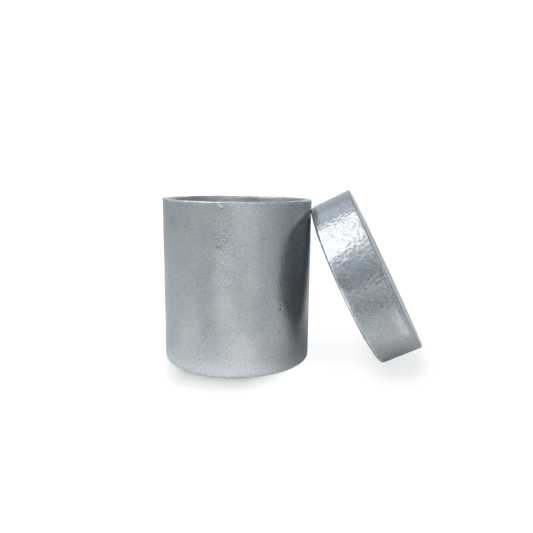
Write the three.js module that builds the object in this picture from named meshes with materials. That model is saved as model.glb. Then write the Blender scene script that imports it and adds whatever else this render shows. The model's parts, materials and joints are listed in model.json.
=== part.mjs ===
// Candle tin: a thick-walled round metal vessel with an open top, and its
// slip-over cap lid standing beside it, leaned against the vessel's wall.
//
// Frame: millimetres, +Z up, origin at the centre of the vessel's underside.
// The lid stands on the +X side of the vessel. Its own axis is parallel to the
// XZ plane and a little to the +Y side of it.

import * as THREE from 'three';

// ------------------------------------------------------------ dimensions
// The vessel and the lid are built alike: a tube open at one end, with a
// counterbore (the seat) at the other that takes the flange of a disc.

const VESSEL_OUTER_R = 40.0;
const VESSEL_WALL = 3.6;
const SLIP_CLEARANCE = 1.4;       // between the vessel's wall and the lid's bore

const SEAT_DEPTH = 4.0;
const DISC_THICKNESS = 4.5;       // at the raised middle, which faces inwards
const SEAT_GAP = 0.3;             // all round between a disc and its tube
const DISC_CHAMFER = 0.3;

const VESSEL = {
  outerR: VESSEL_OUTER_R,
  boreR: VESSEL_OUTER_R - VESSEL_WALL,
  height: 86.5,
  seatR: 37.9,
  openOuterRound: 0.7,            // outer edge of the open end
  openBoreRound: 0.9,             // bore edge of the open end
  seatOuterRound: 0.8,            // outer edge of the seat end
};

const LID = {
  outerR: 46.4,
  boreR: VESSEL_OUTER_R + SLIP_CLEARANCE,
  height: 22.5,
  seatR: 43.6,
  openOuterRound: 1.6,
  openBoreRound: 0.8,
  seatOuterRound: 0.8,
};

const LID_LEAN_DEG = 27.3;        // lean of the open rim away from vertical
const LID_SIDE_STEP = 8.4;        // of the lid's axis, from the vessel's, along +Y
const LEAN_GAP = 0.15;            // between the lid's rim and the vessel's wall

const SEGMENTS = 120;             // around each turned piece
const ROUND_STEPS = 4;            // along each quarter round
const CONTACT_STEPS = 3600;       // around the lid's rim, to find where it leans

// -------------------------------------------------------------- profiles
// A profile is a list of [radius, height] points, walked counter-clockwise
// as seen with the radius to the right and the height upwards. Height zero
// is the outside face of the seat end.

function quarterRound(centreR, centreHeight, round, fromDeg) {
  const points = [];
  for (let i = 0; i <= ROUND_STEPS; i += 1) {
    const angle = THREE.MathUtils.degToRad(fromDeg + (90 * i) / ROUND_STEPS);
    points.push([
      centreR + round * Math.cos(angle),
      centreHeight + round * Math.sin(angle),
    ]);
  }
  return points;
}

// a tube with rounded edges and the seat cut into its lower end
function tubeProfile({
  outerR, boreR, height, seatR, openOuterRound, openBoreRound, seatOuterRound,
}) {
  return [
    ...quarterRound(outerR - seatOuterRound, seatOuterRound, seatOuterRound, -90),
    ...quarterRound(outerR - openOuterRound, height - openOuterRound, openOuterRound, 0),
    ...quarterRound(boreR + openBoreRound, height - openBoreRound, openBoreRound, 90),
    [boreR, SEAT_DEPTH],
    [seatR, SEAT_DEPTH],
    [seatR, 0],
  ];
}

// a disc whose flange sits in the seat and whose raised middle fills the
// bore beyond it
function discProfile({ boreR, seatR }) {
  const flangeR = seatR - SEAT_GAP;
  const flangeTop = SEAT_DEPTH - SEAT_GAP;
  const middleR = boreR - SEAT_GAP;
  return [
    [0, 0],
    [flangeR - DISC_CHAMFER, 0],
    [flangeR, DISC_CHAMFER],
    [flangeR, flangeTop],
    [middleR, flangeTop],
    [middleR, DISC_THICKNESS - DISC_CHAMFER],
    [middleR - DISC_CHAMFER, DISC_THICKNESS],
    [0, DISC_THICKNESS],
  ];
}

// turned end over end, so that the open end lies at height zero; reversing
// the points keeps them counter-clockwise
function endOverEnd(profile, fullHeight) {
  return profile.map(([radius, height]) => [radius, fullHeight - height]).reverse();
}

// ------------------------------------------------------------- materials
function silver({ color, roughness }) {
  return new THREE.MeshStandardMaterial({ color, metalness: 0.85, roughness });
}

const vesselSilver = silver({ color: 0xa9b0b5, roughness: 0.42 });
const lidSilver = silver({ color: 0xa6adb4, roughness: 0.36 });

// ---------------------------------------------------------------- pieces
// A tube's profile is a closed loop; a disc's starts and ends on the axis.
function turnedPiece({ name, profile, closed, material }) {
  const points = profile.map(([radius, height]) => new THREE.Vector2(radius, height));
  if (closed) points.push(points[0].clone());
  const geometry = new THREE.LatheGeometry(points, SEGMENTS);
  geometry.rotateX(Math.PI / 2);  // the lathe turns about Y; stand it on Z
  const mesh = new THREE.Mesh(geometry, material);
  mesh.name = name;
  return mesh;
}

function buildVessel() {
  const material = vesselSilver;
  const wall = tubeProfile(VESSEL);
  const base = discProfile(VESSEL);
  return new THREE.Group().add(
    turnedPiece({ name: 'vessel_wall', profile: wall, closed: true, material }),
    turnedPiece({ name: 'vessel_base', profile: base, closed: false, material }),
  );
}

function buildLid() {
  const material = lidSilver;
  const skirt = endOverEnd(tubeProfile(LID), LID.height);
  const top = endOverEnd(discProfile(LID), LID.height);
  return new THREE.Group().add(
    turnedPiece({ name: 'lid_skirt', profile: skirt, closed: true, material }),
    turnedPiece({ name: 'lid_top', profile: top, closed: false, material }),
  );
}

// -------------------------------------------------------------- assembly
// The centres of the outer round of the lid's open rim form a circle. Slide it
// in along X until its nearest point is one reach from the vessel's axis, and
// return the X of its centre.
function leaningCircleX(circleR, lean) {
  const reach = VESSEL.outerR + LEAN_GAP + LID.openOuterRound;
  let circleX = 0;
  for (let i = 0; i < CONTACT_STEPS; i += 1) {
    const angle = (2 * Math.PI * i) / CONTACT_STEPS;
    const y = LID_SIDE_STEP + circleR * Math.sin(angle);
    if (Math.abs(y) < reach) {
      const contactX = Math.sqrt(reach ** 2 - y ** 2);
      const towardsVessel = circleR * Math.sin(lean) * Math.cos(angle);
      circleX = Math.max(circleX, contactX + towardsVessel);
    }
  }
  return circleX;
}

// The open rim's lower edge stands on the floor and its upper edge leans on
// the vessel's wall. The lid's origin is the centre of its open end, one round
// back along its axis from the centre of the circle.
function leanLid(lid) {
  const lean = THREE.MathUtils.degToRad(LID_LEAN_DEG);
  const round = LID.openOuterRound;
  const circleR = LID.outerR - round;
  const circleZ = round + circleR * Math.cos(lean);
  lid.position.set(
    leaningCircleX(circleR, lean) - round * Math.cos(lean),
    LID_SIDE_STEP,
    circleZ - round * Math.sin(lean),
  );
  lid.rotation.y = Math.PI / 2 - lean;
}

const vessel = buildVessel();
const lid = buildLid();
leanLid(lid);

const candleTin = new THREE.Group();
candleTin.add(vessel, lid);

export default candleTin;
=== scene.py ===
"""Candle tin: thick-walled silver vessel with its slip-over lid leaning beside it.

The vessel stands on the floor around the Z axis; the lid leans on its +X side.
Profiles are worked out in millimetres and scaled to metres when a mesh is
written. The stage, lights and camera are in metres.
"""

import json
import math

import bpy
import numpy as np
from mathutils import Matrix, Vector


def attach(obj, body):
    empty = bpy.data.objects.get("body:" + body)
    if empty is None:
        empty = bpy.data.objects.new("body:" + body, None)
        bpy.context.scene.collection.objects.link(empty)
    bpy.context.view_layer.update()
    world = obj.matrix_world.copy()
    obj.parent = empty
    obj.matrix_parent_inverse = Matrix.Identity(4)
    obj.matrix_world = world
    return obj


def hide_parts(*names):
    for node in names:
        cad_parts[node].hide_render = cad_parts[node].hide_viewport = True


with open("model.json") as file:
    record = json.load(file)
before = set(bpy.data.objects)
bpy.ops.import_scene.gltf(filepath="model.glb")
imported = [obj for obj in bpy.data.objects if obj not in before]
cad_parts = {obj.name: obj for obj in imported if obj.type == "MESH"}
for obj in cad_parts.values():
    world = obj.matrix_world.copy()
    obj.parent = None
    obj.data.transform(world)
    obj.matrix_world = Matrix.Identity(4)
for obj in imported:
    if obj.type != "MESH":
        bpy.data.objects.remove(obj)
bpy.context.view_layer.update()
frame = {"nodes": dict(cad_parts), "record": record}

MM = 0.001
TURN = 2 * math.pi
SEED = 481                      # each piece counts its own seed up from here

# ---------------------------------------------------------------------------
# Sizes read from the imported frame, millimetres
# ---------------------------------------------------------------------------


def node_points(name):
    mesh = frame["nodes"][name].data
    co = np.zeros(len(mesh.vertices) * 3, np.float32)
    mesh.vertices.foreach_get("co", co)
    return co.reshape(-1, 3).astype(float) / MM


wall_points = node_points("vessel_wall")
wall_radii = np.hypot(wall_points[:, 0], wall_points[:, 1])
VESSEL_R = float(wall_radii.max())
VESSEL_BORE_R = float(wall_radii.min())
VESSEL_H = float(wall_points[:, 2].max())
BASE_T = float(node_points("vessel_base")[:, 2].max())

top_mount = next(m for m in frame["record"]["mounts"] if m["name"] == "lid_top_rest")
LID_AXIS = np.array(top_mount["axis"], float)  # out of the lid's top face
LID_AXIS /= np.linalg.norm(LID_AXIS)
LID_TOP_AT = np.array(top_mount["pos_m"], float) / MM
LID_ACROSS = np.array([0.0, 1.0, 0.0])
LID_UP = np.cross(LID_AXIS, LID_ACROSS)
if LID_UP[2] < 0:               # turn it to point up the lid's face
    LID_UP, LID_ACROSS = -LID_UP, -LID_ACROSS


def lid_local(points):
    """Radius and height in the lid's own frame, with height 0 at the top face."""
    offset = points - LID_TOP_AT
    return np.hypot(offset @ LID_ACROSS, offset @ LID_UP), offset @ LID_AXIS


skirt_radii, skirt_heights = lid_local(node_points("lid_skirt"))
LID_R = float(skirt_radii.max())
LID_BORE_R = float(skirt_radii.min())
LID_H = float(-skirt_heights.min())
LID_TOP_T = float(-lid_local(node_points("lid_top"))[1].min())

# ---------------------------------------------------------------------------
# Chosen sizes, millimetres
# ---------------------------------------------------------------------------
BASE_SEAT_R, LID_SEAT_R = 37.9, 43.6           # seats cut for the two discs
SEAT_D = 4.0
SEAT_GAP = 0.06                                # disc step short of the seat's depth
TUCK = 0.06                                    # disc plug past the bore, into the wall
BEAD_R = 2.2                                   # fillet of paint in the inside corner

FOOT_R, RIM_OUT_R, RIM_IN_R = 0.8, 0.5, 0.9    # vessel wall corners
LID_RIM_OUT_R, LID_RIM_IN_R, LID_FACE_R = 1.25, 0.8, 0.8   # lid skirt corners

WALL_SEGMENTS, BASE_SEGMENTS = 400, 300
SKIRT_SEGMENTS, TOP_SEGMENTS = 760, 480

# Relief layers: wavelength, amplitude, leathery or plain
WALL_LAYERS = ((34.0, 0.045, False), (12.0, 0.012, False), (5.0, 0.004, False),
               (2.4, 0.008, True))
SKIRT_LAYERS = ((22.0, 0.035, False), (8.0, 0.014, False), (3.4, 0.011, False),
                (1.75, 0.019, True))

# Pits in the vessel's outside: angle in degrees, height, radius, depth
WALL_PITS = (
    (-90.4, 65.6, 0.62, 0.15), (-88.3, 66.3, 0.50, 0.12), (-92.6, 67.0, 0.45, 0.06),
    (-57.7, 69.3, 0.50, 0.22), (-70.2, 57.2, 0.42, 0.13), (-44.3, 33.8, 0.60, 0.17),
    (-43.4, 35.6, 0.50, 0.09), (-45.5, 21.7, 0.60, 0.22), (-104.5, 8.6, 0.42, 0.16),
    (-125.8, 39.1, 0.50, 0.10), (-57.5, 16.0, 0.40, 0.09),
)
# Pits in the lid's outside: angle in degrees, distance below the top face, radius, depth
SKIRT_PITS = (
    (149.1, 1.7, 0.50, 0.16), (150.4, 4.3, 0.42, 0.12), (147.3, 5.8, 0.42, 0.12),
    (145.6, 3.6, 0.40, 0.08), (189.4, 8.3, 0.55, 0.12), (196.8, 1.8, 0.45, 0.14),
)
PIT_FULL_DARK = 0.18                           # pit depth at which a pit is darkest
# Chips in the vessel's foot: angle in degrees, half width, depth
FOOT_CHIPS = (
    (-73.4, 0.6, 0.50), (-70.9, 0.5, 0.26), (-59.4, 0.5, 0.20), (-89.4, 0.8, 0.16),
    (-118.4, 1.0, 0.18), (40.0, 1.1, 0.35), (118.0, 0.9, 0.30), (205.0, 1.3, 0.28),
)
# Painted highlights, lighter patches on the vessel's outside: angle and half width in
# degrees, height, half height, strength
PAINTED_HIGHLIGHTS = ((-84.0, 13.0, 82.0, 22.0, 0.32), (-67.0, 7.0, 47.0, 17.0, 0.25))

# ---------------------------------------------------------------------------
# Random fields and falloffs, in millimetres
# ---------------------------------------------------------------------------


def band_field(rng, rows, cols, row_length, col_length, wavelength):
    """Periodic noise around one wavelength, with unit deviation."""
    octave_width = 0.35
    row_f = np.fft.fftfreq(rows, d=row_length / rows)[:, None]
    col_f = np.fft.rfftfreq(cols, d=col_length / cols)[None, :]
    freq = np.hypot(row_f, col_f)
    freq[0, 0] = 1.0
    gain = np.exp(-0.5 * (np.log(freq * wavelength) / octave_width) ** 2)
    gain[0, 0] = 0.0
    spectrum = np.fft.rfft2(rng.standard_normal((rows, cols))) * gain
    out = np.fft.irfft2(spectrum, s=(rows, cols))
    return out / out.std()


def belt_field(rng, segments, radius, cells, length, wavelength):
    """A band field wrapped round a cylinder, cells samples over length."""
    return band_field(rng, segments, cells, TURN * radius, length, wavelength)


def leathery(field):
    """Rounded bumps parted by thin valleys, from a plain field; zero mean."""
    valley_softness = 0.35
    bumps = np.sqrt(field * field + valley_softness * valley_softness)
    return (bumps - bumps.mean()) / bumps.std()


def sample_rows(field, along, length):
    """A belt field read at arc lengths along; gives rings x segments."""
    cells = field.shape[1]
    x = (np.asarray(along) / length) % 1.0 * cells
    i = np.floor(x).astype(int)
    t = x - i
    return (field[:, i % cells] * (1 - t) + field[:, (i + 1) % cells] * t).T


def sample_plane(field, x, y, size):
    """A square periodic field read bilinearly at x, y."""
    n, m = field.shape
    u, v = (x / size % 1.0) * n, (y / size % 1.0) * m
    i, j = np.floor(u).astype(int), np.floor(v).astype(int)
    a, b = u - i, v - j
    i0, i1, j0, j1 = i % n, (i + 1) % n, j % m, (j + 1) % m
    return ((1 - a) * (1 - b) * field[i0, j0] + a * (1 - b) * field[i1, j0]
            + (1 - a) * b * field[i0, j1] + a * b * field[i1, j1])


def smoothstep(low, high, x):
    t = np.clip((x - low) / (high - low), 0, 1)
    return t * t * (3 - 2 * t)


def bell(*ratios):
    """Gaussian falloff; each ratio is a distance over its half width."""
    return np.exp(-sum(ratio ** 2 for ratio in ratios))


def wrap(angle, turn):
    """An angle brought to within half a turn of zero."""
    return (angle + turn / 2) % turn - turn / 2


def ring_angles(segments):
    return np.arange(segments) * (TURN / segments)


# ---------------------------------------------------------------------------
# Turned meshes
# ---------------------------------------------------------------------------


class Profile:
    """A profile walked with the solid on its left: points and outward normals
    as (radius, height), a tag per point, and the arc length along it."""

    def __init__(self):
        self.points, self.normals, self.tags = [], [], []

    def add(self, point, normal, tag):
        self.points.append(np.array(point, float))
        self.normals.append(np.array(normal, float))
        self.tags.append(tag)

    def line(self, start, end, step, tag):
        start = np.array(start, float)
        run = np.array(end, float) - start
        length = np.hypot(*run)
        count = max(1, round(length / step))
        for k in range(count):
            self.add(start + run * (k / count), np.array([run[1], -run[0]]) / length, tag)

    def arc(self, centre, radius, start_deg, end_deg, count, tag):
        sign = 1 if end_deg > start_deg else -1
        for k in range(count):
            angle = math.radians(start_deg + (end_deg - start_deg) * k / count)
            toward = np.array([math.cos(angle), math.sin(angle)])
            self.add(np.array(centre, float) + radius * toward, toward * sign, tag)

    def finish(self):
        self.points = np.array(self.points)
        self.normals = np.array(self.normals)
        self.tags = np.array(self.tags)
        self.radius, self.height = self.points.T
        steps = np.hypot(*np.diff(self.points, axis=0).T)
        self.along = np.concatenate([[0], np.cumsum(steps)])
        self.length = self.along[-1] + np.hypot(*(self.points[0] - self.points[-1]))
        return self

    def on(self, *tags):
        return np.isin(self.tags, tags)


def add_object(name, data):
    obj = bpy.data.objects.new(name, data)
    bpy.context.scene.collection.objects.link(obj)
    return obj


def write_mesh(name, verts_mm, quads, tris, place, values):
    mesh = bpy.data.meshes.new(name)
    xyz = place(verts_mm) * MM
    mesh.vertices.add(len(xyz))
    mesh.vertices.foreach_set("co", xyz.astype(np.float32).ravel())
    loops = np.concatenate([quads.ravel(), tris.ravel()])
    sizes = np.concatenate([np.full(len(quads), 4), np.full(len(tris), 3)])
    mesh.loops.add(len(loops))
    mesh.loops.foreach_set("vertex_index", loops.astype(np.int32))
    mesh.polygons.add(len(sizes))
    mesh.polygons.foreach_set("loop_start", (np.cumsum(sizes) - sizes).astype(np.int32))
    mesh.polygons.foreach_set("use_smooth", np.ones(len(sizes), bool))
    mesh.update(calc_edges=True)
    for key, value in values.items():
        attribute = mesh.attributes.new(key, "FLOAT", "POINT")
        attribute.data.foreach_set("value", np.asarray(value, np.float32).ravel())
    mesh.validate(clean_customdata=False)
    return add_object(name, mesh)


def turned(name, profile, segments, lift, place, values):
    """Revolves a profile. lift is rings x segments, along the normal. A profile
    whose ends lie on the axis is capped there, else it is a closed loop."""
    around = ring_angles(segments)
    radius = profile.radius[:, None] + profile.normals[:, 0, None] * lift
    height = profile.height[:, None] + profile.normals[:, 1, None] * lift
    capped = abs(profile.radius[0]) < 1e-9 and abs(profile.radius[-1]) < 1e-9
    verts = np.stack([radius * np.cos(around), radius * np.sin(around), height], -1)
    if capped:
        verts = verts[1:-1]
    rings = len(verts)
    verts = verts.reshape(-1, 3)

    i = np.arange(rings - 1 if capped else rings)[:, None]
    j = np.arange(segments)
    j_next = (j + 1) % segments
    ring, ring_next = i * segments, (i + 1) % rings * segments
    quads = np.stack([ring + j, ring + j_next, ring_next + j_next, ring_next + j], -1)
    quads = quads.reshape(-1, 4)
    tris = np.zeros((0, 3), int)
    if capped:
        verts = np.vstack([verts, [[0, 0, height[0].mean()], [0, 0, height[-1].mean()]]])
        start_pole, end_pole = rings * segments, rings * segments + 1
        last = (rings - 1) * segments
        tris = np.vstack([
            np.stack([np.full(segments, start_pole), j_next, j], -1),
            np.stack([np.full(segments, end_pole), last + j, last + j_next], -1),
        ])
        values = {key: np.concatenate([v[1:-1].ravel(), [v[0].mean(), v[-1].mean()]])
                  for key, v in values.items()}
    return write_mesh(name, verts, quads, tris, place, values)


def in_vessel(v):
    return v


def in_lid(v):
    """Places lid points: height 0 at the top face, rising out of the lid."""
    return LID_TOP_AT + v[:, 0:1] * LID_ACROSS + v[:, 1:2] * LID_UP + v[:, 2:3] * LID_AXIS


# ---------------------------------------------------------------------------
# Surface relief
# ---------------------------------------------------------------------------


def skin(rng, segments, radius, profile, layers):
    """Cast-and-painted relief on a turned surface."""
    cell = 0.4
    out = np.zeros((len(profile.along), segments))
    cells = int(profile.length / cell)
    for wavelength, amplitude, is_leathery in layers:
        field = belt_field(rng, segments, radius, cells, profile.length, wavelength)
        if is_leathery:
            field = leathery(field)
        out += amplitude * sample_rows(field, profile.along, profile.length)
    return out


def relief_weight(profile, from_closed_end, fade_end):
    """No relief on the seat, and little in the bore near the closed end."""
    weight = np.ones(len(profile.points))
    weight[profile.on("seat")] = 0.0
    bore = profile.on("bore")
    weight[bore] = 0.25 + 0.75 * smoothstep(8.0, fade_end, from_closed_end[bore])
    return weight


def pits(segments, profile, radius, spots):
    """Small round pits: angle in degrees, arc length, radius, depth."""
    around, along = ring_angles(segments), profile.along
    out = np.zeros((len(along), segments))
    for degrees, at, pit_radius, depth in spots:
        offset = wrap(around - math.radians(degrees), TURN)
        square = (((offset[None, :] * radius) ** 2 + (along[:, None] - at) ** 2)
                  / pit_radius ** 2)
        near = square < 9
        out[near] -= depth * np.exp(-square[near])
    return out


def as_rings(mask, segments):
    return np.repeat(mask.astype(float)[:, None], segments, axis=1)


def edge_tone(edge_noise, middle, swing):
    return middle + swing * np.clip(edge_noise, -1, 1)


# ------------------------------------------------------------- vessel wall


def wall_profile():
    p = Profile()
    p.arc((VESSEL_R - FOOT_R, FOOT_R), FOOT_R, -90, 0, 5, "foot corner")
    p.line((VESSEL_R, FOOT_R), (VESSEL_R, VESSEL_H - RIM_OUT_R), 0.6, "outside")
    p.arc((VESSEL_R - RIM_OUT_R, VESSEL_H - RIM_OUT_R), RIM_OUT_R, 0, 90, 5, "rim corner")
    p.line((VESSEL_R - RIM_OUT_R, VESSEL_H), (VESSEL_BORE_R + RIM_IN_R, VESSEL_H), 0.4, "rim")
    p.arc((VESSEL_BORE_R + RIM_IN_R, VESSEL_H - RIM_IN_R), RIM_IN_R, 90, 180, 5,
          "bore corner")
    p.line((VESSEL_BORE_R, VESSEL_H - RIM_IN_R), (VESSEL_BORE_R, SEAT_D), 1.25, "bore")
    p.line((VESSEL_BORE_R, SEAT_D), (BASE_SEAT_R, SEAT_D), 0.75, "seat")
    p.line((BASE_SEAT_R, SEAT_D), (BASE_SEAT_R, 0), 1.3, "seat")
    p.line((BASE_SEAT_R, 0), (VESSEL_R - FOOT_R, 0), 0.45, "underside")
    return p.finish()


def wall_pit_spots(outside_start):
    """The listed pits, then a scatter round the rest of the outside."""
    rng = np.random.default_rng(SEED + 1)
    listed = list(WALL_PITS)
    for _ in range(38):
        listed.append((rng.uniform(-32, 218), rng.uniform(4, 82),
                       rng.uniform(0.3, 0.55), rng.uniform(0.04, 0.16)))
    return [(degrees, outside_start + z - FOOT_R, radius, depth)
            for degrees, z, radius, depth in listed]


def build_vessel_wall():
    segments, field_length = WALL_SEGMENTS, 88.0
    p = wall_profile()
    along, outside = p.along, p.on("outside")
    below_rim = VESSEL_H - p.height
    rim_mid = along[p.on("rim corner")].mean()
    around = ring_angles(segments)
    degrees = np.degrees(around)
    rng = np.random.default_rng(SEED)

    def patch(at_deg, half_width, z, half_height):
        return bell(wrap(degrees[None, :] - at_deg, 360) / half_width,
                    (p.height[:, None] - z) / half_height)

    def belt(cells, length, wavelength):
        return belt_field(rng, segments, VESSEL_R, cells, length, wavelength)

    weight = relief_weight(p, p.height, fade_end=14.0)
    weight[p.on("underside")] = 0.4
    lift = skin(rng, segments, VESSEL_R, p, WALL_LAYERS) * weight[:, None]
    # left plain where the lid leans on the wall
    lift *= 1 - patch(3.6, 7.0, 81.0, 5.0) * outside[:, None]
    pit_map = pits(segments, p, VESSEL_R, wall_pit_spots(along[outside][0]))
    lift += pit_map

    # uneven foot
    edge_long = belt(8, 8.0, 6.0)[:, 0]
    edge_short = belt(8, 8.0, 2.2)[:, 0]
    lift += np.outer(bell((along - 0.9) / 0.9),
                     -0.07 * np.clip(edge_long - 0.6, 0, None) - 0.03 * np.abs(edge_short))
    # rough band on the outside below the rim
    rough = leathery(belt(220, field_length, 1.7))
    lift += 0.020 * sample_rows(rough, along, field_length) * (
        outside * bell(below_rim / 4.0))[:, None]
    # raised burr round the rim, highest near 345 degrees
    burr = 0.16 + 0.05 * edge_long + 0.16 * bell((around - math.radians(345)) / 0.45)
    lift += np.outer(p.on("rim corner", "rim") + outside * bell(below_rim / 0.9)
                     + p.on("bore corner") * bell(below_rim / 0.5), burr)
    # worn outer corner of the rim
    lift += np.outer(bell((along - rim_mid) / 0.8),
                     -0.08 * np.clip(edge_short - 0.9, 0, None) + 0.022 * edge_long)
    for at_deg, half_width, depth in FOOT_CHIPS:
        offset = wrap(around - math.radians(at_deg), TURN) * VESSEL_R
        lift -= np.outer(bell((along - 0.6) / 0.55), depth * bell(offset / half_width))

    # metal worn through on the rim and foot corners and the rim's flat; on the rim and its
    # flat it is also a painted highlight
    wear_and_sheen = np.outer(0.75 * bell((along - rim_mid) / 0.34) + 0.55 * bell((along - 0.7) / 0.5),
                    edge_tone(edge_short, 0.6, 0.4))
    wear_and_sheen += (0.65 * p.on("rim"))[:, None]
    # painted highlights on the outside
    for *where, much in PAINTED_HIGHLIGHTS:
        wear_and_sheen += much * outside[:, None] * patch(*where)
    # painted reflection of the floor: a lighter band low on the outside, lightest at the
    # foot; and scuffs just below the rim
    scuff_and_sheen_field = sample_rows(belt(220, field_length, 2.6), along, field_length)
    scuff_and_sheen = np.clip(0.9 + 0.22 * scuff_and_sheen_field, 0, 2)
    wear_and_sheen += 0.34 * scuff_and_sheen * (bell(p.height / 5.0) * outside)[:, None]
    wear_and_sheen += 0.30 * np.clip(scuff_and_sheen - 1.1, 0, 1) * (outside * bell(below_rim / 5.0))[:, None]

    return turned("vessel_wall_skin", p, segments, lift, in_vessel, {
        "wear_and_sheen": np.clip(wear_and_sheen, 0, 1),
        "inside": as_rings(p.on("bore"), segments),
        "dark_pits_and_shade": np.clip(-pit_map / PIT_FULL_DARK, 0, 1)})


# ------------------------------------------------------- the two flat discs
PLANE = 120.0                                  # side of the periodic relief square
plane_rng = np.random.default_rng(SEED + 2)
plane_low = band_field(plane_rng, 240, 240, PLANE, PLANE, 24.0)
plane_mid = band_field(plane_rng, 240, 240, PLANE, PLANE, 6.0)
plane_fine = leathery(band_field(plane_rng, 300, 300, PLANE, PLANE, 2.2))


def disc_relief(profile, segments, low, mid, fine, shift=(0.0, 0.0)):
    """Relief with an amplitude per layer, on the level faces of a disc only."""
    around = ring_angles(segments)
    x = profile.radius[:, None] * np.cos(around) + shift[0]
    y = profile.radius[:, None] * np.sin(around) + shift[1]
    relief = np.abs(profile.normals[:, 1])[:, None] ** 2 * (
        low * sample_plane(plane_low, x, y, PLANE)
        + mid * sample_plane(plane_mid, x, y, PLANE)
        + fine * sample_plane(plane_fine, x, y, PLANE))
    relief[profile.on("edge")] = 0
    return relief


def build_vessel_base():
    under, corner = 0.02, 0.35                 # underside height, its corner radius
    disc_r, step_z = BASE_SEAT_R - 0.12, SEAT_D - SEAT_GAP
    plug_r = VESSEL_BORE_R + TUCK
    p = Profile()
    p.line((0, under), (disc_r - corner, under), 0.9, "underside")
    p.arc((disc_r - corner, under + corner), corner, -90, 0, 3, "corner")
    p.line((disc_r, under + corner), (disc_r, step_z), 1.2, "edge")
    p.line((disc_r, step_z), (plug_r, step_z), 0.8, "edge")
    p.line((plug_r, step_z), (plug_r, BASE_T + BEAD_R), 0.9, "edge")
    p.arc((plug_r - BEAD_R, BASE_T + BEAD_R), BEAD_R, 0, -90, 8, "bead")
    p.line((plug_r - BEAD_R, BASE_T), (0, BASE_T), 0.7, "inner face")
    p.add((0, BASE_T), (0, 1), "inner face")
    p.finish()
    lift = disc_relief(p, BASE_SEGMENTS, low=0.05, mid=0.02, fine=0.012)
    return turned("vessel_base_skin", p, BASE_SEGMENTS, lift, in_vessel, {
        "wear_and_sheen": np.zeros_like(lift), "dark_pits_and_shade": np.zeros_like(lift),
        "inside": as_rings(p.on("bead", "inner face"), BASE_SEGMENTS)})


def build_lid_top():
    corner = 0.22
    disc_r, step_z = LID_SEAT_R - 0.10, -(SEAT_D - SEAT_GAP)
    plug_r = LID_BORE_R + TUCK
    p = Profile()
    p.line((0, -LID_TOP_T), (plug_r - BEAD_R, -LID_TOP_T), 0.9, "inner face")
    p.arc((plug_r - BEAD_R, -LID_TOP_T - BEAD_R), BEAD_R, 90, 0, 8, "bead")
    p.line((plug_r, -LID_TOP_T - BEAD_R), (plug_r, step_z), 0.9, "edge")
    p.line((plug_r, step_z), (disc_r, step_z), 0.8, "edge")
    p.line((disc_r, step_z), (disc_r, -corner), 1.2, "edge")
    p.arc((disc_r - corner, -corner), corner, 0, 90, 3, "corner")
    p.line((disc_r - corner, 0), (0, 0), 0.55, "face")
    p.add((0, 0), (0, 1), "face")
    p.finish()
    lift = disc_relief(p, TOP_SEGMENTS, low=0.045, mid=0.022, fine=0.013, shift=(31.0, 17.0))

    # dents scattered over the outer face, darker the deeper
    around = ring_angles(TOP_SEGMENTS)
    rng = np.random.default_rng(SEED + 5)
    dark_pits_and_shade = np.zeros_like(lift)
    for _ in range(26):
        angle, out = rng.uniform(0, TURN), 40.0 * math.sqrt(rng.uniform(0, 1))
        radius, depth = rng.uniform(0.3, 0.6), rng.uniform(0.05, 0.16)
        dx = p.radius[:, None] * np.cos(around) - out * math.cos(angle)
        dy = p.radius[:, None] * np.sin(around) - out * math.sin(angle)
        dent = np.exp(-(dx ** 2 + dy ** 2) / radius ** 2) * p.on("face")[:, None]
        lift -= depth * dent
        dark_pits_and_shade = np.maximum(dark_pits_and_shade, dent * depth / PIT_FULL_DARK)
    return turned("lid_top_skin", p, TOP_SEGMENTS, lift, in_lid, {
        "wear_and_sheen": np.zeros_like(lift), "dark_pits_and_shade": np.clip(dark_pits_and_shade, 0, 1),
        "inside": as_rings(p.on("bead", "inner face"), TOP_SEGMENTS)})


# --------------------------------------------------------------- lid skirt


def skirt_profile():
    """In the lid's frame the top face is height 0 and the open rim is -LID_H."""
    p = Profile()
    p.arc((LID_R - LID_RIM_OUT_R, -LID_H + LID_RIM_OUT_R), LID_RIM_OUT_R, -90, 0, 7,
          "rim corner")
    p.line((LID_R, -LID_H + LID_RIM_OUT_R), (LID_R, -LID_FACE_R), 0.37, "outside")
    p.arc((LID_R - LID_FACE_R, -LID_FACE_R), LID_FACE_R, 0, 90, 7, "face corner")
    p.line((LID_R - LID_FACE_R, 0), (LID_SEAT_R, 0), 0.35, "face")
    p.line((LID_SEAT_R, 0), (LID_SEAT_R, -SEAT_D), 1.3, "seat")
    p.line((LID_SEAT_R, -SEAT_D), (LID_BORE_R, -SEAT_D), 0.7, "seat")
    p.line((LID_BORE_R, -SEAT_D), (LID_BORE_R, -LID_H + LID_RIM_IN_R), 0.9, "bore")
    p.arc((LID_BORE_R + LID_RIM_IN_R, -LID_H + LID_RIM_IN_R), LID_RIM_IN_R, 180, 270, 5,
          "bore corner")
    p.line((LID_BORE_R + LID_RIM_IN_R, -LID_H), (LID_R - LID_RIM_OUT_R, -LID_H), 0.4, "rim")
    return p.finish()


def skirt_pit_spots(outside_start):
    """The listed pits, then a scatter round the rest of the outside."""
    rng = np.random.default_rng(SEED + 4)
    spots = [(degrees, outside_start + (LID_H - LID_RIM_OUT_R) - below, radius, depth)
             for degrees, below, radius, depth in SKIRT_PITS]
    for _ in range(30):
        spots.append((rng.uniform(-150, 130), outside_start + rng.uniform(1, 19),
                      rng.uniform(0.3, 0.55), rng.uniform(0.04, 0.12)))
    return spots


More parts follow.
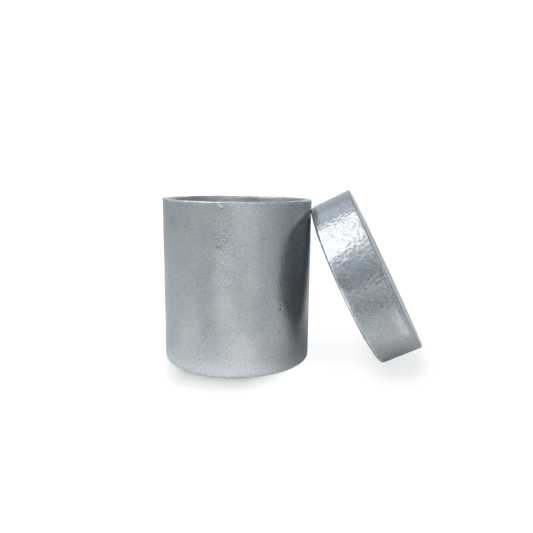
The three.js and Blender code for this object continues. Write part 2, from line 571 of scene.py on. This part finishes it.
def build_lid_skirt():
    segments, reflection_length = SKIRT_SEGMENTS, 24.0
    p = skirt_profile()
    along, below_face = p.along, -p.height
    outside = p.on("outside")
    degrees = np.degrees(ring_angles(segments))
    rng = np.random.default_rng(SEED + 3)

    weight = relief_weight(p, below_face, fade_end=12.0)
    lift = skin(rng, segments, LID_R, p, SKIRT_LAYERS) * weight[:, None]
    # left plain near the open rim where the lid leans on the vessel
    near_rim = smoothstep(LID_H - 6.0, LID_H - 3.5, below_face)
    lift *= 1 - np.outer(near_rim * p.on("rim corner", "outside", "rim"),
                         bell(wrap(degrees - 97.5, 360) / 9.0))
    pit_map = pits(segments, p, LID_R, skirt_pit_spots(along[outside][0]))
    lift += pit_map

    # metal worn through along the open rim's outer corner, also a painted highlight there
    edge = belt_field(rng, segments, LID_R, 8, 8.0, 7.0)[:, 0]
    wear_and_sheen = np.outer(bell((along - along[p.on("rim corner")].max()) / 0.7),
                    edge_tone(edge, 0.6, 0.4))
    # painted reflection: a lighter strip just below the face corner, over part of the turn
    reflection_around = smoothstep(188.0, 203.0, degrees) * (1 - smoothstep(214.0, 220.0, degrees))
    reflection_down = (smoothstep(1.9, 2.7, below_face) * (1 - smoothstep(3.6, 8.0, below_face))
                * outside)
    reflection_field = belt_field(rng, segments, LID_R, 60, reflection_length, 2.5)
    wear_and_sheen += 0.46 * reflection_down[:, None] * reflection_around[None, :] * (
        1 + 0.3 * sample_rows(reflection_field, along, reflection_length))
    # painted shade: a dark line round the face corner
    corner_mid = along[p.on("face corner")].mean()
    corner_shade = np.outer(0.30 * bell((along - corner_mid) / 0.8), edge_tone(edge, 0.8, 0.3))
    return turned("lid_skirt_skin", p, segments, lift, in_lid, {
        "wear_and_sheen": np.clip(wear_and_sheen, 0, 1),
        "dark_pits_and_shade": np.clip(corner_shade - pit_map / PIT_FULL_DARK, 0, 1),
        "inside": as_rings(p.on("bore"), segments)})


vessel_wall = build_vessel_wall()
vessel_base = build_vessel_base()
lid_skirt = build_lid_skirt()
lid_top = build_lid_top()

for piece, body, node, slot in (
        (vessel_wall, "vessel", "vessel_wall", "vessel_silver"),
        (vessel_base, "vessel", "vessel_base", "vessel_silver"),
        (lid_skirt, "lid", "lid_skirt", "lid_silver"),
        (lid_top, "lid", "lid_top", "lid_silver")):
    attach(piece, body)
    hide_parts(node)

# ---------------------------------------------------------------------------
# Materials
# ---------------------------------------------------------------------------


class Nodes:
    """Clears the node tree of a material or world and builds a new one."""

    def __init__(self, owner):
        owner.use_nodes = True
        self.tree = owner.node_tree
        self.tree.nodes.clear()

    def add(self, kind, inputs=None, **props):
        node = self.tree.nodes.new(kind)
        for key, value in props.items():
            setattr(node, key, value)
        for key, value in (inputs or {}).items():
            if isinstance(value, bpy.types.NodeSocket):
                self.tree.links.new(value, node.inputs[key])
            else:
                node.inputs[key].default_value = value
        return node

    def math(self, op, a, b=0.0, c=0.0, clamp=False):
        return self.add("ShaderNodeMath", {0: a, 1: b, 2: c},
                        operation=op, use_clamp=clamp).outputs[0]

    def vector(self, op, inputs, output=0):
        return self.add("ShaderNodeVectorMath", inputs, operation=op).outputs[output]

    def mix(self, fac, a, b):
        return self.add("ShaderNodeMix", {0: fac, 6: a, 7: b}, data_type="RGBA").outputs[2]

    def noise(self, vector, scale, detail, rough):
        return self.add("ShaderNodeTexNoise", {
            "Vector": vector, "Scale": scale, "Detail": detail,
            "Roughness": rough}).outputs["Fac"]

    def attr(self, name):
        return self.add("ShaderNodeAttribute", attribute_name=name).outputs["Fac"]

    def remap(self, value, over, to):
        return self.add("ShaderNodeMapRange", {
            "Value": value, "From Min": over[0], "From Max": over[1],
            "To Min": to[0], "To Max": to[1]}).outputs["Result"]


# worn metal, also the colour of painted highlights
BARE_METAL_AND_SHEEN = (0.86, 0.87, 0.875, 1.0)
# dark colour of pits, also of painted shade
PIT_AND_SHADE_DARK = (0.085, 0.09, 0.095, 1.0)
NOISE_SPAN = (0.3, 0.7)                        # the range most noise falls in


def silver_coat(name, cool, warm, roughness, peel_depth, peel_scale,
                inside_lighter, inside_shade, offset):
    """Aluminium-flake paint over a cast surface, worn to the metal on edges, darker in pits,
    with painted highlights and painted shade.
    inside_lighter and inside_shade are how much lighter and darker the inside is painted, as
    painted light and shade."""
    material = bpy.data.materials.new(name)
    n = Nodes(material)
    at = n.vector("ADD", {0: n.add("ShaderNodeTexCoord").outputs["Object"], 1: offset})
    cloud = n.noise(at, scale=26.0, detail=2.0, rough=0.5)
    patch = n.noise(at, scale=110.0, detail=3.0, rough=0.55)
    grain = n.noise(at, scale=1050.0, detail=2.0, rough=0.6)
    flake = n.noise(at, scale=2300.0, detail=1.0, rough=0.5)
    wear_and_sheen, dark_pits_and_shade, inside = n.attr("wear_and_sheen"), n.attr("dark_pits_and_shade"), n.attr("inside")

    # paint colour, varied in brightness about 1
    body = n.mix(n.remap(cloud, over=(0.35, 0.65), to=(0.0, 1.0)), cool, warm)
    tone = n.math("ADD", n.remap(patch, over=NOISE_SPAN, to=(-0.022, 0.022)),
                  n.remap(flake, over=NOISE_SPAN, to=(-0.08, 0.08)))
    tone = n.math("ADD", tone, n.remap(grain, over=NOISE_SPAN, to=(-0.14, 0.14)))
    gain = n.math("ADD", tone, 1.0)
    paint = n.vector("SCALE", {0: body, "Scale": gain})
    # lighter toward the worn metal where worn, where highlights are painted, and in the bore
    # by inside_lighter as painted light
    bare_and_sheen = n.math("MULTIPLY_ADD", inside, inside_lighter, n.math("MULTIPLY", wear_and_sheen, 0.85))
    worn_and_sheen_colour = n.mix(bare_and_sheen, paint, BARE_METAL_AND_SHEEN)
    # darker in pits, and where shade is painted: inside the lid and round its face corner
    darkness = n.math("MULTIPLY_ADD", inside, inside_shade, n.math("MULTIPLY", dark_pits_and_shade, 0.7))
    pitted_and_shaded = n.mix(darkness, worn_and_sheen_colour, PIT_AND_SHADE_DARK)

    # rougher inside, smoother where worn and where sheen is painted
    rough = n.math("ADD", n.remap(patch, over=NOISE_SPAN, to=(-0.03, 0.03)), roughness)
    rough = n.math("ADD", rough, n.remap(flake, over=NOISE_SPAN, to=(-0.03, 0.03)))
    rough = n.math("MULTIPLY_ADD", inside, 0.10, rough)
    rough = n.math("MULTIPLY_ADD", wear_and_sheen, -0.06, rough, clamp=True)

    # orange peel with a trace of flake
    peel = n.noise(at, scale=peel_scale, detail=1.0, rough=0.4)
    fine = n.math("MULTIPLY_ADD", peel, 1.0, n.math("MULTIPLY", flake, 0.08))
    bump = n.add("ShaderNodeBump", {"Strength": 1.0, "Distance": peel_depth, "Height": fine})
    shader = n.add("ShaderNodeBsdfPrincipled", {
        "Base Color": pitted_and_shaded, "Metallic": 0.92, "Roughness": rough,
        "Normal": bump.outputs[0], "Coat Weight": 0.22, "Coat Roughness": 0.2})
    n.add("ShaderNodeOutputMaterial", {"Surface": shader.outputs[0]})
    return material


vessel_paint = silver_coat(
    "vessel_silver_coat", cool=(0.430, 0.465, 0.500, 1.0), warm=(0.460, 0.485, 0.490, 1.0),
    roughness=0.31, peel_depth=0.000155, peel_scale=900.0,
    # the vessel's bore is painted lighter: painted light
    inside_lighter=0.42, inside_shade=0.0, offset=(0.0, 0.0, 0.0))
lid_paint = silver_coat(
    "lid_silver_coat", cool=(0.425, 0.465, 0.510, 1.0), warm=(0.455, 0.485, 0.505, 1.0),
    roughness=0.24, peel_depth=0.000180, peel_scale=600.0,
    # the lid's inside is painted darker: painted shade
    inside_lighter=0.0, inside_shade=0.29, offset=(0.31, 0.12, 0.07))
for obj in (vessel_wall, vessel_base):
    obj.data.materials.append(vessel_paint)
for obj in (lid_skirt, lid_top):
    obj.data.materials.append(lid_paint)

# ---------------------------------------------------------------------------
# Floor
# ---------------------------------------------------------------------------
FLOOR_HALF, FLOOR_Z = 4, -0.0002
FLOOR_PALE = 0.86                              # what the tin sees
FLOOR_LIFT, FLOOR_SHADE = 0.90, 0.30           # what the camera sees: glow and diffuse

# Glow on the near floor, seen only in the tin: x, y, radius, (red, green, blue)
GLOWS = (
    (-0.0459, -0.0265, 0.013, (0.146, 0.178, 0.163)),
    (-0.0341, -0.0406, 0.013, (0.204, 0.235, 0.211)),
    (-0.0181, -0.0498, 0.013, (0.336, 0.328, 0.307)),
    (0, -0.053, 0.013, (0.419, 0.400, 0.416)),
    (0.0181, -0.0498, 0.013, (0.430, 0.408, 0.422)),
    (0.0341, -0.0406, 0.013, (0.317, 0.294, 0.311)),
    (-0.0598, -0.0501, 0.018, (0.134, 0.152, 0.142)),
    (0.0292, -0.0723, 0.018, (0.201, 0.167, 0.188)),
    (0.078, -0.045, 0.016, (0.245, 0.210, 0.178)),
    (0.1, -0.03, 0.016, (0.170, 0.146, 0.106)),
    (0.12, -0.045, 0.02, (0.106, 0.085, 0.071)),
    (0.115, -0.085, 0.022, (0.043, 0.028, 0.021)),
    (0.2, -0.26, 0.05, (0.141, 0.157, 0.149)),
)
# Shade on the near floor, seen only in the tin: x, y, radius, share of light taken
SHADES = (
    (0, -0.078, 0.018, 0.053), (0.098, -0.004, 0.016, 0.047),
    (-0.07, -0.115, 0.026, 0.279), (-0.02, -0.115, 0.026, 0.331),
    (0.03, -0.115, 0.026, 0.112), (0.08, -0.115, 0.026, 0.533),
    (0.13, -0.115, 0.026, 0.079), (-0.07, -0.165, 0.03, 0.208),
    (0, -0.165, 0.03, 0.106), (0.07, -0.165, 0.03, 0.533),
    (-0.12, -0.26, 0.05, 0.106), (0.08, -0.26, 0.05, 0.428),
)


def floor_seen_by_tin(n, where):
    """Pale diffuse floor with the soft glows and shades."""
    def round_patch(x, y, radius):
        off = n.vector("SUBTRACT", {0: where, 1: (x, y, 0.0)})
        square = n.vector("DOT_PRODUCT", {0: off, 1: off}, "Value")
        return n.math("EXPONENT", n.math("MULTIPLY", square, -1.0 / radius ** 2))

    glow = n.vector("ADD", {0: (0, 0, 0), 1: (0, 0, 0)})
    for x, y, radius, colour in GLOWS:
        part = n.vector("SCALE", {0: colour, "Scale": round_patch(x, y, radius)})
        glow = n.vector("ADD", {0: glow, 1: part})
    left = n.math("ADD", FLOOR_PALE, 0.0)
    for x, y, radius, share in SHADES:
        kept = n.math("MULTIPLY_ADD", round_patch(x, y, radius), -share, 1.0)
        left = n.math("MULTIPLY", left, kept)
    pale = n.add("ShaderNodeCombineColor", {0: left, 1: left, 2: left}).outputs[0]
    return n.add("ShaderNodeAddShader", {
        0: n.add("ShaderNodeBsdfDiffuse", {"Color": pale}).outputs[0],
        1: n.add("ShaderNodeEmission", {"Color": glow, "Strength": 1.0}).outputs[0]})


def floor_seen_by_camera(n, where):
    """Near white, with a painted contact shadow: darker close to the tin, most in front of
    the vessel, less by the lid.
    """
    close = n.add("ShaderNodeAmbientOcclusion", {"Distance": 0.035}, samples=16).outputs["AO"]
    east = n.add("ShaderNodeSeparateXYZ", {0: where}).outputs["X"]
    aside = n.math("ABSOLUTE", n.math("ADD", east, 0.002))
    by_vessel = n.remap(aside, over=(0.016, 0.036), to=(0.42, 0.97))
    darkest = n.remap(east, over=(0.045, 0.075), to=(by_vessel, 0.83))
    open_air = n.remap(close, over=(0.5, 0.975), to=(darkest, 1.0))
    shade = n.math("MULTIPLY", open_air, FLOOR_SHADE)
    grey = n.add("ShaderNodeCombineColor", {0: shade, 1: shade, 2: shade}).outputs[0]
    diffuse = n.add("ShaderNodeBsdfDiffuse", {"Color": grey})
    glow = n.add("ShaderNodeEmission", {"Strength": n.math("MULTIPLY", open_air, FLOOR_LIFT)})
    return n.add("ShaderNodeAddShader", {0: diffuse.outputs[0], 1: glow.outputs[0]})


def build_floor():
    mesh = bpy.data.meshes.new("floor")
    corners = [(x * FLOOR_HALF, y * FLOOR_HALF, 0)
               for x, y in ((-1, -1), (1, -1), (1, 1), (-1, 1))]
    mesh.from_pydata(corners, [], [(0, 1, 2, 3)])
    floor = add_object("floor", mesh)
    floor.location.z = FLOOR_Z
    material = bpy.data.materials.new("pale_floor")
    n = Nodes(material)
    where = n.add("ShaderNodeNewGeometry").outputs["Position"]
    for_tin = floor_seen_by_tin(n, where)
    for_camera = floor_seen_by_camera(n, where)
    material.cycles.emission_sampling = "NONE"
    choice = n.add("ShaderNodeMixShader", {
        0: n.add("ShaderNodeLightPath").outputs["Is Camera Ray"],
        1: for_tin.outputs[0], 2: for_camera.outputs[0]})
    n.add("ShaderNodeOutputMaterial", {"Surface": choice.outputs[0]})
    mesh.materials.append(material)


# ---------------------------------------------------------------------------
# Lights
# ---------------------------------------------------------------------------
# Soft light all round, as broad lobes. Under each elevation in degrees:
# azimuth in degrees (0 is +X, 90 is +Y), red, green, blue.
LOBES = {
    4: ((0, 0.175, 0.194, 0.209), (20, 0.144, 0.161, 0.150), (40, 0.248, 0.268, 0.265),
        (60, 0.373, 0.402, 0.421), (80, 0.437, 0.467, 0.489), (100, 0.350, 0.374, 0.378),
        (120, 0.281, 0.304, 0.312), (140, 0.251, 0.279, 0.306), (160, 0.222, 0.256, 0.313),
        (180, 0.279, 0.313, 0.386), (200, 0.356, 0.394, 0.444), (220, 0.339, 0.382, 0.390),
        (240, 0.239, 0.279, 0.271), (280, 0.383, 0.394, 0.403), (300, 0.819, 0.845, 0.826),
        (320, 0.506, 0.537, 0.533), (340, 0.129, 0.157, 0.170)),
    24: ((10, 0.115, 0.138, 0.144), (30, 0.167, 0.193, 0.196), (50, 0.282, 0.314, 0.329),
         (70, 0.340, 0.377, 0.395), (90, 0.336, 0.367, 0.380), (110, 0.326, 0.343, 0.352),
         (130, 0.247, 0.273, 0.287), (150, 0.197, 0.239, 0.263), (170, 0.234, 0.270, 0.296),
         (190, 0.346, 0.369, 0.388), (210, 0.414, 0.428, 0.437), (230, 0.352, 0.381, 0.418),
         (250, 0.224, 0.263, 0.326), (270, 0.241, 0.263, 0.300), (290, 0.497, 0.521, 0.531),
         (310, 0.468, 0.497, 0.507), (330, 0.237, 0.267, 0.284), (350, 0.148, 0.174, 0.190)),
    47: ((0, 0.239, 0.267, 0.291), (30, 0.214, 0.246, 0.271), (60, 0.216, 0.256, 0.280),
         (90, 0.216, 0.253, 0.276), (120, 0.280, 0.299, 0.327), (150, 0.284, 0.330, 0.359),
         (180, 0.453, 0.433, 0.400), (210, 0.730, 0.622, 0.531), (240, 0.556, 0.518, 0.516),
         (270, 0.376, 0.396, 0.427), (300, 0.320, 0.346, 0.371), (330, 0.266, 0.293, 0.320)),
    70: ((30, 0.205, 0.237, 0.267), (90, 0.192, 0.231, 0.260), (150, 0.284, 0.313, 0.333),
         (210, 0.512, 0.469, 0.434), (270, 0.362, 0.371, 0.385), (330, 0.258, 0.285, 0.314)),
    90: ((0, 0.273, 0.297, 0.320),),
}
LOBE_TIGHTNESS = 25
BACKDROP_STRENGTH = 1.1                        # plain white, seen by the camera

# Soft lamps: place, (red, green, blue) power in watts
LAMPS = (
    ((-0.28, -0.34, 0.28), (0.057, 0.061, 0.062)),
    ((-0.28, -0.05, 0.28), (0.075, 0.077, 0.076)),
    ((0.03, -0.34, 0.28), (0.011, 0.012, 0.013)),
    ((0.03, -0.05, 0.28), (0.055, 0.055, 0.054)),
    ((0.34, -0.34, 0.28), (0.033, 0.036, 0.036)),
    ((-0.28, -0.34, 0.5), (0.276, 0.274, 0.269)),
    ((-0.28, -0.05, 0.5), (0.234, 0.233, 0.229)),
    ((-0.28, 0.28, 0.5), (0.063, 0.067, 0.073)),
    ((0.03, -0.34, 0.5), (0.107, 0.109, 0.110)),
)
LAMP_DIAMETER = 0.26
LAMP_AIM = Vector((0.03, 0.0, 0.03))
# Soft pools of light on the floor: place of the spot, radius of the pool, power
POOLS = (
    ((-0.02, -0.085, 0.6), 0.045, (3.621, 3.355, 3.267)),
    ((0.03, -0.1, 0.6), 0.05, (9.896, 9.670, 9.896)),
    ((-0.08, -0.075, 0.6), 0.045, (5.703, 6.104, 5.090)),
    ((-0.02, -0.19, 0.6), 0.06, (23.975, 24.176, 23.582)),
    ((-0.05, -0.38, 0.8), 0.12, (5.159, 6.442, 4.575)),
    ((0.15, -0.4, 0.8), 0.12, (29.076, 29.724, 28.895)),
)


def build_world():
    world = bpy.data.worlds.new("soft_studio")
    bpy.context.scene.world = world
    n = Nodes(world)
    incoming = n.add("ShaderNodeTexCoord").outputs["Generated"]
    total = None
    for elevation, row in LOBES.items():
        e = math.radians(elevation)
        for azimuth, *colour in row:
            a = math.radians(azimuth)
            toward = (math.cos(a) * math.cos(e), math.sin(a) * math.cos(e), math.sin(e))
            dot = n.vector("DOT_PRODUCT", {0: incoming, 1: toward}, "Value")
            lobe = n.math("EXPONENT",
                          n.math("MULTIPLY_ADD", dot, LOBE_TIGHTNESS, -LOBE_TIGHTNESS))
            glow = n.vector("SCALE", {0: colour, "Scale": lobe})
            total = glow if total is None else n.vector("ADD", {0: total, 1: glow})
    light = n.add("ShaderNodeBackground", {"Color": total, "Strength": 1.0})
    plain = n.add("ShaderNodeBackground", {
        "Color": (1.0, 1.0, 1.0, 1.0), "Strength": BACKDROP_STRENGTH})
    seen = n.add("ShaderNodeLightPath").outputs["Is Camera Ray"]
    both = n.add("ShaderNodeMixShader", {0: seen, 1: light.outputs[0], 2: plain.outputs[0]})
    n.add("ShaderNodeOutputWorld", {"Surface": both.outputs[0]})


def add_light(name, kind, place, power):
    data = bpy.data.lights.new(name, kind)
    data.energy = max(power)
    data.color = [c / max(power) for c in power]
    light = add_object(name, data)
    light.location = place
    return light


def build_lights():
    for k, (place, power) in enumerate(LAMPS):
        lamp = add_light("soft_lamp_%d" % k, "AREA", place, power)
        lamp.data.shape = "DISK"
        lamp.data.size = LAMP_DIAMETER
        lamp.rotation_euler = (LAMP_AIM - lamp.location).to_track_quat("-Z", "Y").to_euler()
        lamp.visible_camera = False
    for k, (place, radius, power) in enumerate(POOLS):
        pool = add_light("floor_pool_%d" % k, "SPOT", place, power)
        pool.data.spot_size = 2 * math.atan(radius / place[2])
        pool.data.spot_blend = 1.0
        pool.data.shadow_soft_size = 0.02


# ---------------------------------------------------------------------------
# Camera
# ---------------------------------------------------------------------------
CAMERA_AT = (0.063379, -0.266953, 0.098021)
HEADING, PITCH, ROLL = -10.000, 10.076, 0.763  # degrees: from +Y to +X, down, roll
SENSOR_WIDTH, LENS = 36.0, 33.771106942        # millimetres


def build_camera():
    data = bpy.data.cameras.new("camera")
    camera = add_object("camera", data)
    bpy.context.scene.camera = camera
    data.sensor_width = SENSOR_WIDTH
    data.lens = LENS
    data.clip_start, data.clip_end = 0.01, 50.0
    yaw, pitch, roll = (math.radians(v) for v in (HEADING, PITCH, ROLL))
    ahead = Vector((math.sin(yaw) * math.cos(pitch), math.cos(yaw) * math.cos(pitch),
                    -math.sin(pitch)))
    right = Vector((math.cos(yaw), -math.sin(yaw), 0.0))
    up = right.cross(ahead)
    right, up = (math.cos(roll) * right + math.sin(roll) * up,
                 -math.sin(roll) * right + math.cos(roll) * up)
    rows = zip(right, up, -ahead, CAMERA_AT)
    camera.matrix_world = Matrix((*rows, (0, 0, 0, 1)))


build_floor()
build_world()
build_lights()
build_camera()
bpy.context.scene.view_settings.view_transform = "Standard"
